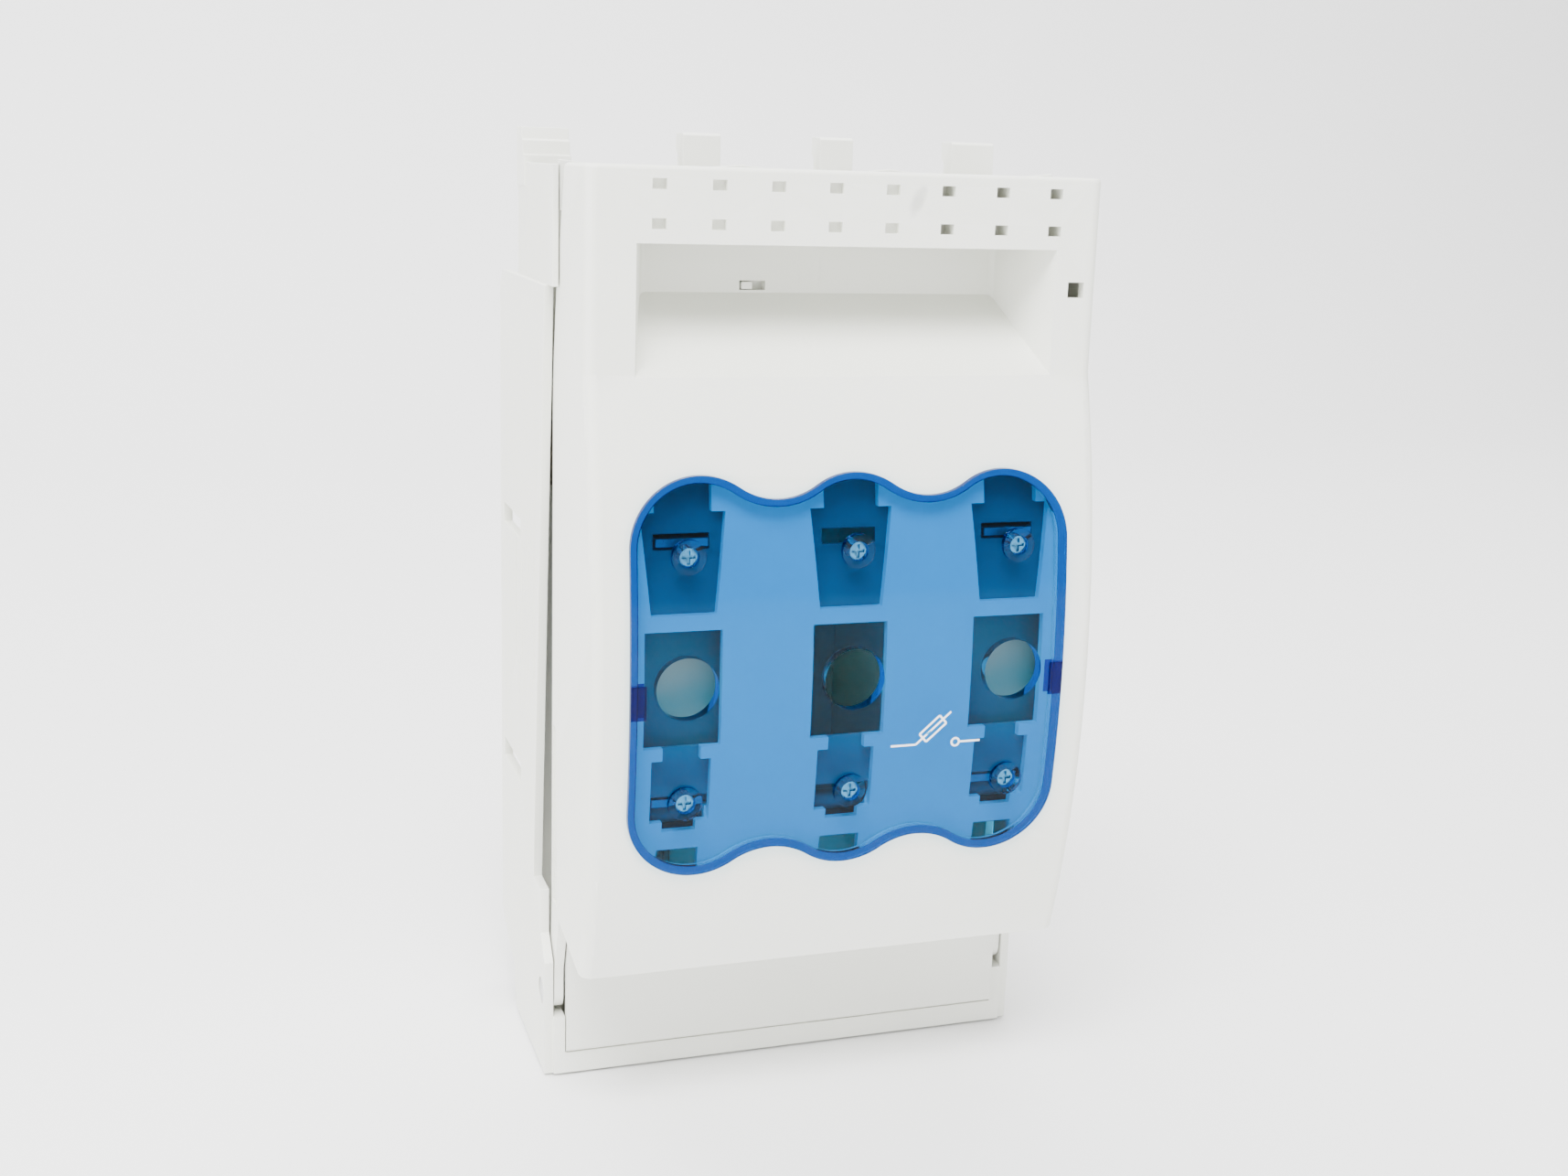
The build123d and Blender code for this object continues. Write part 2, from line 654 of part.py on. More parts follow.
finish(fuse_carrier.part, "fuse_carrier")

# ---- clamp plates behind the carrier, above and below the middle of each pole ----
clamp_front = carrier_back - clamp_gap
clamp_back = clamp_front - clamp_thick


def clamp_row(half, z_low, z_high):
    """Three plates in a row that follow the inside of the arch, one behind each pole."""
    arch_shell(clamp_front, clamp_back, pole_pitch + half, z_low, z_high)
    for x in (-pole_pitch / 2, pole_pitch / 2):
        gap = pole_pitch / 2 - half
        block(x - gap, x + gap, -90.0, -60.0, z_low - 1.0, z_high + 1.0, Mode.SUBTRACT)


with BuildPart() as upper_fuse_clamps:
    clamp_row(8.8, 10.5, 45.0)
    for x in pole_x:
        block(x - 5.4, x + 5.4, -90.0, -60.0, 23.9, 26.8, Mode.SUBTRACT)
    for x in (-pad_x, pad_x):
        rod(x, -90.0, pad_z_top, pad_radius + pad_gap, 30.0, Mode.SUBTRACT)
finish(upper_fuse_clamps.part, "upper_fuse_clamps")

with BuildPart() as lower_fuse_clamps:
    clamp_row(8.4, -23.9, -13.8)
finish(lower_fuse_clamps.part, "lower_fuse_clamps")

with BuildPart() as carrier_screws:
    for x in (-pad_x, pad_x):
        for z in (pad_z_top, pad_z_bottom):
            y1 = arch_y(carrier_back, z) + 0.1
            rod(x, y1, z, pad_radius - 0.2, 1.6)
            rod(x, y1 - 3.4, z, 1.2, 3.4)
finish(carrier_screws.part, "carrier_screws")

# ---- release levers, one per pole, each on its own pin ----
with BuildPart() as lever_pins:
    for x in pole_x:
        cross_rod(x - lever_half - 1.9, x + lever_half + 1.9, lever_y, lever_z, lever_pin_radius)
finish(lever_pins.part, "lever_pins")

for x, pole in zip(pole_x, pole_name):
    with BuildPart() as lever:
        cross_rod(x - lever_half, x + lever_half, lever_y, lever_z, 2.0)
        side_plate([(lever_y, lever_z + 0.9), (lever_y + 13.0, lever_z + 1.3), (lever_y + 13.0, lever_z),
                    (lever_y, lever_z - 0.9)], x - lever_half, x + lever_half)
        side_plate([(lever_y - 0.8, lever_z), (lever_y + 0.8, lever_z), (lever_y + 2.6, lever_z - 8.5),
                    (lever_y + 1.2, lever_z - 8.5)], x - lever_half, x + lever_half)
        cross_rod(x - lever_half - 1, x + lever_half + 1, lever_y, lever_z,
                  lever_pin_radius + lever_pin_gap, Mode.SUBTRACT)
    finish(lever.part, "fuse_release_lever_" + pole)

# ---- lock slide behind the grip ----
with BuildPart() as lock_slide:
    y0 = grip_back + 2.3
    block(-20.5, -10.0, y0, y0 + 1.3, 68.5, 73.3)
    block(-16.3, -14.1, grip_back - 0.4, y0, 70.2, 71.6)
finish(lock_slide.part, "lock_slide")

# ---- blade fuse-links in the outer poles ----
for i in fused_poles:
    x = pole_x[i]
    pole = pole_name[i]
    half = fuse_width / 2
    rear = fuse_front + fuse_depth
    with BuildPart() as fuse_body:
        block(x - half, x + half, fuse_front, rear, -half_fuse, half_fuse)
        fillet(fuse_body.edges().filter_by(Axis.Z), 4.0)
        block(x - half + fuse_wall, x + half - fuse_wall, fuse_front + fuse_wall, rear - fuse_wall,
              -half_fuse, half_fuse, Mode.SUBTRACT)
    finish(fuse_body.part, "fuse_body_" + pole)
    for side, level in ((1, "upper"), (-1, "lower")):
        with BuildPart() as cap:
            block(x - half, x + half, fuse_front, rear, side * half_fuse, side * cap_outer)
            fillet(cap.edges().filter_by(Axis.Z), 4.0)
            # grip lug: a neck that carries a wider head
            block(x - 5.0, x + 5.0, fuse_front - lug_depth, fuse_front + 2.0, side * half_fuse, side * cap_outer)
            # rectangular hole that the blade's tongue sits in
            block(x - blade_thick / 2, x + blade_thick / 2, blade_front + 2, blade_rear - 2,
                  side * (half_fuse - 1), side * (cap_outer + 1), Mode.SUBTRACT)
        finish(cap.part, "fuse_cap_" + level + "_" + pole)
        with BuildPart() as blade:
            block(x - blade_thick / 2, x + blade_thick / 2, blade_front, blade_rear,
                  side * cap_outer, side * fuse_length / 2)
            chamfer(blade.edges().filter_by(Axis.Z), 0.8)
            block(x - blade_thick / 2, x + blade_thick / 2, blade_front + 2, blade_rear - 2,
                  side * (half_fuse - 3.0), side * cap_outer)
        finish(blade.part, "fuse_blade_" + level + "_" + pole)
    with BuildPart() as element:
        mid = (blade_front + blade_rear) / 2
        block(x - 0.4, x + 0.4, mid - 4.0, mid + 4.0, -half_fuse + 3.0, half_fuse - 3.0)
        for z in (-12.0, -4.0, 4.0, 12.0):
            for y in (mid - 2.6, mid, mid + 2.6):
                with Locations((x, y, z)):
                    Cylinder(0.9, 4.0, rotation=(0, 90, 0), mode=Mode.SUBTRACT)
    finish(element.part, "fuse_element_" + pole)
    with BuildPart() as indicator:
        rod(x, fuse_front - 0.6, 10.5, 1.6, 0.6)
    finish(indicator.part, "fuse_indicator_" + pole)
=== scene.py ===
import json
import math
import bmesh
import bpy
from mathutils import Matrix, Vector


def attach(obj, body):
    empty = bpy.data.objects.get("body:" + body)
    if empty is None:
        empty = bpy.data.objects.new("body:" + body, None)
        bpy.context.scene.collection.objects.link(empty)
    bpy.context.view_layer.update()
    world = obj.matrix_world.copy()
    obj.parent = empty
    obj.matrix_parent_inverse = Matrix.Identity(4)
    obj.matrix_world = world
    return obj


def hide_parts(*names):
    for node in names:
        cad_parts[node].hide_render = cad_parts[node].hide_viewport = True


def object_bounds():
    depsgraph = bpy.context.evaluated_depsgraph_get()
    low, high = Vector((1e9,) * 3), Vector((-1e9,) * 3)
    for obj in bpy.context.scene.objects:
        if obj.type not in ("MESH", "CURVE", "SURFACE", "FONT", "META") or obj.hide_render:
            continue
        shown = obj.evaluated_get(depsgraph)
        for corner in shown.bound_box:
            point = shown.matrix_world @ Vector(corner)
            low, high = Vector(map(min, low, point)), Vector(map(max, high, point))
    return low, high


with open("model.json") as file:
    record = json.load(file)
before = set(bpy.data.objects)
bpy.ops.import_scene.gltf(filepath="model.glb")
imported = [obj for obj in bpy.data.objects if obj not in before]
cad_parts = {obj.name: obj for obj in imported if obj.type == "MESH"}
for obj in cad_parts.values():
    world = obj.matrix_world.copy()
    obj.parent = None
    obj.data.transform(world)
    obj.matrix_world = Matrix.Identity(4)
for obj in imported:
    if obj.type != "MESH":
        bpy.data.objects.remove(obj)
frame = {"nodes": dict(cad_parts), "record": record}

nodes = frame["nodes"]
bodies = frame["record"]["behaviour"]["bodies"]
slotOf = {part["node"]: part["material_slot"] for part in frame["record"]["subparts"]}
bodyOf = {node: body for body, members in bodies.items() for node in members}
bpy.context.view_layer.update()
mm = 0.001
print("frame loaded:", len(nodes), "nodes")


# short helpers for building node trees
def newGroup(name, inputs, outputs):
    group = bpy.data.node_groups.new(name, "ShaderNodeTree")
    for label, kind, value in inputs:
        socket = group.interface.new_socket(label, in_out="INPUT", socket_type=kind)
        socket.default_value = value
    for label, kind in outputs:
        group.interface.new_socket(label, in_out="OUTPUT", socket_type=kind)
    return group, group.nodes.new("NodeGroupInput"), group.nodes.new("NodeGroupOutput")


def addNode(tree, kind, settings=None, **inputs):
    node = tree.nodes.new(kind)
    for key, value in (settings or {}).items():
        setattr(node, key, value)
    for key, value in inputs.items():
        socket = node.inputs[int(key[1:])] if key[0] == "i" and key[1:].isdigit() else node.inputs[key]
        if isinstance(value, bpy.types.NodeSocket):
            tree.links.new(value, socket)
        else:
            socket.default_value = value
    return node


def maths(tree, operation, a, b=0.0, clamp=False):
    settings = {"operation": operation, "use_clamp": clamp}
    return addNode(tree, "ShaderNodeMath", settings, i0=a, i1=b).outputs[0]


def times(tree, a, b):
    return maths(tree, "MULTIPLY", a, b)


def plus(tree, a, b, clamp=False):
    return maths(tree, "ADD", a, b, clamp)


def ramp(tree, value, band):
    # 0 at the first end of the band, 1 at the second
    node = addNode(tree, "ShaderNodeMapRange", {"interpolation_type": "SMOOTHSTEP"}, Value=value)
    node.inputs["From Min"].default_value = band[0]
    node.inputs["From Max"].default_value = band[1]
    return node.outputs["Result"]


def noise(tree, vector, scale, detail, rough):
    node = addNode(tree, "ShaderNodeTexNoise", Vector=vector, Scale=scale, Detail=detail, Roughness=rough)
    return node.outputs["Fac"]


def mixColor(tree, amount, a, b):
    node = tree.nodes.new("ShaderNodeMix")
    node.data_type = "RGBA"
    for socket, value in ((node.inputs["Factor"], amount), (node.inputs[6], a), (node.inputs[7], b)):
        if isinstance(value, bpy.types.NodeSocket):
            tree.links.new(value, socket)
        else:
            socket.default_value = value
    return node.outputs[2]


mouldedLook = {"cloudScale": 22.0, "smearScale": 95.0, "scratchStretch": (900.0, 900.0, 40.0),
               "scratchTurn": (0.2, 0.5, 0.9), "scratchBand": (0.63, 0.75), "scuffBand": (0.52, 0.66),
               "edgeBand": (0.508, 0.56), "cornerBand": (0.49, 0.44), "dustBand": (0.35, 0.7),
               "scuffShade": 0.12, "edgeWear": 0.16, "wornTint": (0.95, 0.95, 0.94, 1),
               "dustTint": (0.36, 0.34, 0.31, 1), "smearGloss": 0.22, "edgePolish": 0.08,
               "grainHeight": 0.6, "scuffHeight": -0.9}


def buildMoulded():
    # moulded plastic: spark-eroded grain, soft flow clouds, rubbed edges and a little dust low in corners
    look = mouldedLook
    group, start, end = newGroup("mouldedSurface", [
        ("Base", "NodeSocketColor", (0.8, 0.8, 0.8, 1)),
        ("Grain Scale", "NodeSocketFloat", 2600.0),
        ("Cloud", "NodeSocketFloat", 0.04),
        ("Roughness", "NodeSocketFloat", 0.5),
        ("Scuffs", "NodeSocketFloat", 0.3),
        ("Dust", "NodeSocketFloat", 0.2),
    ], [("Color", "NodeSocketColor"), ("Roughness", "NodeSocketFloat"), ("Height", "NodeSocketFloat")])
    put = start.outputs
    place = addNode(group, "ShaderNodeTexCoord").outputs["Object"]
    fine = noise(group, place, put["Grain Scale"], 2.0, 0.6)
    cloud = noise(group, place, look["cloudScale"], 4.0, 0.6)
    smear = noise(group, place, look["smearScale"], 5.0, 0.7)
    stretch = addNode(group, "ShaderNodeMapping", Vector=place)
    stretch.inputs["Scale"].default_value = look["scratchStretch"]
    stretch.inputs["Rotation"].default_value = look["scratchTurn"]
    scratch = noise(group, stretch.outputs[0], 1.0, 2.0, 0.5)
    scuffed = times(group, ramp(group, scratch, look["scratchBand"]), ramp(group, smear, look["scuffBand"]))
    scuff = times(group, scuffed, put["Scuffs"])
    bend = addNode(group, "ShaderNodeNewGeometry").outputs["Pointiness"]
    edge = ramp(group, bend, look["edgeBand"])
    settled = times(group, ramp(group, bend, look["cornerBand"]), ramp(group, smear, look["dustBand"]))
    dusty = times(group, settled, put["Dust"])
    tone = times(group, maths(group, "SUBTRACT", cloud, 0.5), put["Cloud"])
    shade = maths(group, "SUBTRACT", tone, times(group, scuff, look["scuffShade"]))
    bright = plus(group, 1.0, shade)
    scaled = addNode(group, "ShaderNodeVectorMath", {"operation": "SCALE"})
    group.links.new(put["Base"], scaled.inputs[0])
    group.links.new(bright, scaled.inputs["Scale"])
    worn = mixColor(group, times(group, edge, look["edgeWear"]), scaled.outputs[0], look["wornTint"])
    dirty = mixColor(group, dusty, worn, look["dustTint"])
    gloss = times(group, maths(group, "SUBTRACT", smear, 0.5), look["smearGloss"])
    rough = plus(group, put["Roughness"], gloss)
    rough = maths(group, "SUBTRACT", rough, times(group, edge, look["edgePolish"]), True)
    height = plus(group, times(group, fine, look["grainHeight"]), times(group, scuff, look["scuffHeight"]))
    group.links.new(dirty, end.inputs["Color"])
    group.links.new(rough, end.inputs["Roughness"])
    group.links.new(height, end.inputs["Height"])
    return group


metalLook = {"drawnStretch": (3000.0, 3000.0, 160.0), "blotchScale": 240.0, "spotScale": 900.0,
             "blotchBand": (0.48, 0.72), "tarnishRough": 0.35, "spotHeight": 0.25}


def buildMetal():
    # sheet and turned metal: drawn grain, blotchy plating, small spots
    look = metalLook
    group, start, end = newGroup("platedMetal", [
        ("Base", "NodeSocketColor", (0.7, 0.7, 0.7, 1)),
        ("Tarnish", "NodeSocketColor", (0.4, 0.36, 0.3, 1)),
        ("Tarnish Amount", "NodeSocketFloat", 0.3),
        ("Roughness", "NodeSocketFloat", 0.3),
        ("Grain", "NodeSocketFloat", 0.5),
    ], [("Color", "NodeSocketColor"), ("Roughness", "NodeSocketFloat"), ("Height", "NodeSocketFloat")])
    put = start.outputs
    place = addNode(group, "ShaderNodeTexCoord").outputs["Object"]
    stretch = addNode(group, "ShaderNodeMapping", Vector=place)
    stretch.inputs["Scale"].default_value = look["drawnStretch"]
    lines = noise(group, stretch.outputs[0], 1.0, 3.0, 0.6)
    blotch = noise(group, place, look["blotchScale"], 5.0, 0.7)
    spots = noise(group, place, look["spotScale"], 2.0, 0.5)
    amount = times(group, ramp(group, blotch, look["blotchBand"]), put["Tarnish Amount"])
    color = mixColor(group, amount, put["Base"], put["Tarnish"])
    rough = plus(group, put["Roughness"], times(group, amount, look["tarnishRough"]))
    rough = plus(group, rough, times(group, maths(group, "SUBTRACT", lines, 0.5), put["Grain"]), True)
    height = plus(group, times(group, lines, put["Grain"]), times(group, spots, look["spotHeight"]))
    group.links.new(color, end.inputs["Color"])
    group.links.new(rough, end.inputs["Roughness"])
    group.links.new(height, end.inputs["Height"])
    return group


mouldedGroup = buildMoulded()
metalGroup = buildMetal()


def useGroup(tree, group, values):
    node = tree.nodes.new("ShaderNodeGroup")
    node.node_tree = group
    for label, value in values.items():
        node.inputs[label].default_value = value
    return node


def newMaterial(name):
    material = bpy.data.materials.new(name)
    material.use_nodes = True
    tree = material.node_tree
    return material, tree, tree.nodes["Principled BSDF"]


grainDepth = 0.00002


def wireSurface(tree, shader, surface, bumpStrength):
    tree.links.new(surface.outputs["Color"], shader.inputs["Base Color"])
    tree.links.new(surface.outputs["Roughness"], shader.inputs["Roughness"])
    bump = addNode(tree, "ShaderNodeBump", Height=surface.outputs["Height"])
    bump.inputs["Distance"].default_value = grainDepth
    bump.inputs["Strength"].default_value = bumpStrength
    tree.links.new(bump.outputs[0], shader.inputs["Normal"])


def plastic(name, base, roughness, cloud=0.04, scuffs=0.3, grain=2600.0):
    material, tree, shader = newMaterial(name)
    surface = useGroup(tree, mouldedGroup, {"Base": (*base, 1), "Roughness": roughness, "Cloud": cloud,
                                            "Scuffs": scuffs, "Grain Scale": grain})
    wireSurface(tree, shader, surface, 0.5)
    return material


smudge = {"x": 12.2 * mm, "z": 88.0 * mm, "halfWidth": 1.7 * mm, "halfHeight": 3.6 * mm, "lean": 0.35,
          "color": (0.30, 0.30, 0.29), "amount": 0.42, "patchScale": 420.0, "fadeBand": (1.6, 0.4)}


def lidPlastic():
    # the lid's plastic, with one thumb smudge left on the grip bar
    material = plastic("lid_grey", (0.81, 0.82, 0.75), 0.46, cloud=0.06, scuffs=0.4)
    tree = material.node_tree
    shader = tree.nodes["Principled BSDF"]
    clean = shader.inputs["Base Color"].links[0].from_socket
    place = addNode(tree, "ShaderNodeTexCoord").outputs["Object"]
    where = addNode(tree, "ShaderNodeSeparateXYZ", Vector=place)
    up = maths(tree, "SUBTRACT", where.outputs[2], smudge["z"])
    side = maths(tree, "SUBTRACT", where.outputs[0], smudge["x"])
    side = maths(tree, "SUBTRACT", side, times(tree, up, smudge["lean"]))
    wide = maths(tree, "POWER", maths(tree, "DIVIDE", side, smudge["halfWidth"]), 2.0)
    high = maths(tree, "POWER", maths(tree, "DIVIDE", up, smudge["halfHeight"]), 2.0)
    patchy = noise(tree, place, smudge["patchScale"], 4.0, 0.7)
    reach = plus(tree, plus(tree, wide, high), patchy)
    mask = times(tree, ramp(tree, reach, smudge["fadeBand"]), smudge["amount"])
    tree.links.new(mixColor(tree, mask, clean, (*smudge["color"], 1)), shader.inputs["Base Color"])
    return material


def metal(name, base, tarnish, amount=0.3, roughness=0.3):
    material, tree, shader = newMaterial(name)
    surface = useGroup(tree, metalGroup, {"Base": (*base, 1), "Tarnish": (*tarnish, 1),
                                          "Tarnish Amount": amount, "Roughness": roughness, "Grain": 0.4})
    wireSurface(tree, shader, surface, 0.4)
    shader.inputs["Metallic"].default_value = 1.0
    return material


# the rim tint is both the deeper navy of the window's turned edges and painted shade: a dark shadow gap on
# the back of the flange where it lies on the lid
windowLook = {"tint": (0.004, 0.30, 0.60, 1), "shadowTint": (0.25, 0.66, 0.81, 1),
              "rimAndGapShadeTint": (0.004, 0.03, 0.20, 1), "clipTint": (0.01, 0.004, 0.10, 1), "roughness": 0.05,
              "ior": 1.2, "specular": 0.15, "clipStart": 40.8 * mm, "clipLow": -6.7 * mm,
              "clipHigh": -0.1 * mm, "swirlScale": 60.0, "hairStretch": (500.0, 900.0, 30.0),
              "hairTurn": (0.1, 0.4, 0.7), "hairBand": (0.68, 0.78), "hairRough": 0.12,
              "swirlDepth": 0.00015, "swirlStrength": 0.2, "rimBand": (0.86, 0.35)}


def clearBlue():
    # tinted clear plastic; light that only passes through it is let through with the same tint
    material, tree, shader = newMaterial("window_clear_blue")
    texture = addNode(tree, "ShaderNodeTexCoord")
    place = texture.outputs["Object"]
    swirl = noise(tree, place, windowLook["swirlScale"], 3.0, 0.5)
    hair = addNode(tree, "ShaderNodeMapping", Vector=place)
    hair.inputs["Scale"].default_value = windowLook["hairStretch"]
    hair.inputs["Rotation"].default_value = windowLook["hairTurn"]
    marks = ramp(tree, noise(tree, hair.outputs[0], 1.0, 2.0, 0.5), windowLook["hairBand"])
    rough = plus(tree, windowLook["roughness"], times(tree, marks, windowLook["hairRough"]))
    tree.links.new(rough, shader.inputs["Roughness"])
    bump = addNode(tree, "ShaderNodeBump", Height=swirl)
    bump.inputs["Distance"].default_value = windowLook["swirlDepth"]
    bump.inputs["Strength"].default_value = windowLook["swirlStrength"]
    tree.links.new(bump.outputs[0], shader.inputs["Normal"])
    # the moulding looks deeper where its edge turns away from the front, and in the two thick clips; the back
    # of the flange, where it lies on the lid, gets painted shade, a dark navy shadow gap in the same rim tint
    facing = addNode(tree, "ShaderNodeSeparateXYZ", Vector=texture.outputs["Normal"])
    turned = ramp(tree, maths(tree, "ABSOLUTE", facing.outputs[1]), windowLook["rimBand"])
    where = addNode(tree, "ShaderNodeSeparateXYZ", Vector=place)
    outward = maths(tree, "ABSOLUTE", where.outputs[0])
    beside = maths(tree, "GREATER_THAN", outward, windowLook["clipStart"])
    above = maths(tree, "GREATER_THAN", where.outputs[2], windowLook["clipLow"])
    below = maths(tree, "LESS_THAN", where.outputs[2], windowLook["clipHigh"])
    clip = times(tree, beside, times(tree, above, below))
    lapShadow = addNode(tree, "ShaderNodeAttribute", {"attribute_name": "lapShadow"}).outputs["Fac"]
    rimDepthAndGapShade = maths(tree, "MAXIMUM", turned, lapShadow)
    rimmedAndGapShaded = mixColor(tree, rimDepthAndGapShade, windowLook["tint"], windowLook["rimAndGapShadeTint"])
    tree.links.new(mixColor(tree, clip, rimmedAndGapShaded, windowLook["clipTint"]), shader.inputs["Base Color"])
    shader.inputs["IOR"].default_value = windowLook["ior"]
    shader.inputs["Specular IOR Level"].default_value = windowLook["specular"]
    shader.inputs["Transmission Weight"].default_value = 1.0
    through = addNode(tree, "ShaderNodeBsdfTransparent", Color=windowLook["shadowTint"])
    path = addNode(tree, "ShaderNodeLightPath")
    mix = tree.nodes.new("ShaderNodeMixShader")
    either = maths(tree, "MAXIMUM", path.outputs["Is Shadow Ray"], path.outputs["Is Diffuse Ray"])
    tree.links.new(either, mix.inputs[0])
    tree.links.new(shader.outputs[0], mix.inputs[1])
    tree.links.new(through.outputs[0], mix.inputs[2])
    tree.links.new(mix.outputs[0], tree.nodes["Material Output"].inputs["Surface"])
    return material


finishes = {
    "housing_plastic": plastic("housing_grey", (0.79, 0.80, 0.73), 0.52),
    "cover_plastic": plastic("cover_grey", (0.75, 0.76, 0.695), 0.5),
    "lid_plastic": lidPlastic(),
    "window_plastic": clearBlue(),
    "carrier_plastic": plastic("carrier_white", (0.83, 0.84, 0.83), 0.45, scuffs=0.1),
    "lever_plastic": plastic("lever_dark", (0.03, 0.032, 0.036), 0.4),
    "pin_steel": metal("drawn_pin_steel", (0.55, 0.55, 0.56), (0.3, 0.27, 0.24)),
    "plated_steel": metal("zinc_plated_steel", (0.66, 0.66, 0.64), (0.42, 0.40, 0.34), 0.5, 0.33),
    "contact_metal": metal("silvered_copper", (0.78, 0.76, 0.71), (0.40, 0.30, 0.20), 0.45, 0.28),
    "spring_steel": metal("blued_spring_steel", (0.22, 0.24, 0.30), (0.20, 0.14, 0.10), 0.5, 0.3),
    "arc_chamber_plastic": plastic("arc_chamber_tan", (0.33, 0.27, 0.17), 0.62, cloud=0.2, grain=1400.0),
    "arc_plate_steel": metal("punched_arc_steel", (0.42, 0.42, 0.42), (0.25, 0.2, 0.16), 0.5, 0.4),
    # the contact under the window's boss is coloured deep blue as painted shade: it stands in for the dim
    # blue light there, not the nickel's own colour
    "contact_plating": metal("nickel_contact_painted_blue_shade", (0.05, 0.20, 0.36), (0.02, 0.07, 0.16), 0.5, 0.3),
    "clamp_plastic": plastic("clamp_slate", (0.10, 0.10, 0.11), 0.45, scuffs=0.15),
    # the fuse bodies' dark blue-green is painted shade: far darker than bare ceramic, it stands in for the
    # dim blue light they get under the window
    "fuse_ceramic": plastic("fuse_glazed_ceramic_painted_shade", (0.042, 0.062, 0.060), 0.55, cloud=0.12, scuffs=0.1,
                            grain=700.0),
    "fuse_cap_metal": metal("stamped_cap_metal", (0.42, 0.43, 0.43), (0.22, 0.22, 0.21), 0.6, 0.36),
    "fuse_blade_metal": metal("silvered_blade", (0.80, 0.79, 0.75), (0.45, 0.36, 0.26), 0.5, 0.25),
    "element_metal": metal("punched_copper", (0.72, 0.36, 0.22), (0.3, 0.16, 0.1), 0.5, 0.35),
    "indicator_red": plastic("indicator_red", (0.5, 0.02, 0.02), 0.3),
}
for name, piece in nodes.items():
    for place in piece.material_slots:
        place.material = finishes[slotOf[name]]
print("materials built:", len(finishes))


arch = {"centreY": 129.0 * mm, "centreZ": -2.75 * mm, "radius": 213.0 * mm, "airGap": 0.04 * mm,
        "onIt": 0.02 * mm}


def liftLap(work):
    # the window's flange rests on the lid: a hair of air goes between them, and its back is marked as the
    # lap, which the window's material paints as a dark shadow gap
    lapShadow = work.faces.layers.float.new("lapShadow")
    resting = set()
    for vert in work.verts:
        out = Vector((0, vert.co.y - arch["centreY"], vert.co.z - arch["centreZ"]))
        if abs(out.length - arch["radius"]) < arch["onIt"]:
            resting.add(vert)
            vert.co += out.normalized() * arch["airGap"]
    for face in work.faces:
        face[lapShadow] = float(all(vert in resting for vert in face.verts))


rounding = {"steps": 2, "angle": 32.0, "joinWithin": 0.000002, "flatWithin": 0.6}


def roundedCopy(name, width):
    # the CAD piece with its flat faces joined up and its sharp edges broken by a small radius
    mesh = nodes[name].data.copy()
    work = bmesh.new()
    work.from_mesh(mesh)
    bmesh.ops.remove_doubles(work, verts=work.verts, dist=rounding["joinWithin"])
    flat = math.radians(rounding["flatWithin"])
    bmesh.ops.dissolve_limit(work, angle_limit=flat, verts=work.verts, edges=work.edges)
    bmesh.ops.triangulate(work, faces=[face for face in work.faces if len(face.verts) > 4])
    if name == "inspection_window":
        liftLap(work)
    work.to_mesh(mesh)
    work.free()
    mesh.materials.clear()
    mesh.materials.append(finishes[slotOf[name]])
    piece = bpy.data.objects.new(name + "_rounded", mesh)
    bpy.context.scene.collection.objects.link(piece)
    for face in mesh.polygons:
        face.use_smooth = True
    bevel = piece.modifiers.new("brokenEdges", "BEVEL")
    bevel.width = width
    bevel.segments = rounding["steps"]
    bevel.limit_method = "ANGLE"
    bevel.angle_limit = math.radians(rounding["angle"])
    bevel.use_clamp_overlap = True
    bevel.harden_normals = True
    bevel.miter_outer = "MITER_ARC"
    normals = piece.modifiers.new("evenNormals", "WEIGHTED_NORMAL")
    normals.keep_sharp = True
    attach(piece, bodyOf[name])
    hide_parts(name)


# how much each kind of piece is rounded off at its sharp edges, and the few that differ from their kind
edgeRadius = {
    "housing_plastic": 0.3 * mm, "cover_plastic": 0.25 * mm, "lid_plastic": 0.4 * mm,
    "window_plastic": 0.45 * mm, "carrier_plastic": 0.25 * mm, "lever_plastic": 0.25 * mm,
    "arc_chamber_plastic": 0.2 * mm, "clamp_plastic": 0.12 * mm, "plated_steel": 0.22 * mm,
    "contact_metal": 0.2 * mm, "spring_steel": 0.12 * mm, "fuse_ceramic": 0.35 * mm,
    "fuse_cap_metal": 0.18 * mm, "fuse_blade_metal": 0.25 * mm, "pin_steel": 0.25 * mm,
    "contact_plating": 0.08 * mm, "arc_plate_steel": 0.1 * mm, "indicator_red": 0.12 * mm,
}
edgeRadiusOf = {"lock_slide": 0.2 * mm, "fuse_element_left": 0.05 * mm, "fuse_element_right": 0.05 * mm}
rounded = 0
for name in nodes:
    width = edgeRadiusOf.get(name, edgeRadius.get(slotOf[name]))
    if width:
        roundedCopy(name, width)
        rounded += 1
print("rounded pieces:", rounded)


symbol = {"x": 16.7 * mm, "z": -12.2 * mm, "line": 0.42 * mm, "raise": 1.22 * mm, "thick": 0.05 * mm,
          "fuseLength": 5.4 * mm, "fuseWidth": 2.2 * mm, "tilt": 42.0, "lead": 5.2 * mm, "circle": 0.8 * mm,
          "lowEnd": 1.7, "highEnd": 1.8, "gap": 0.95, "ringSides": 12}


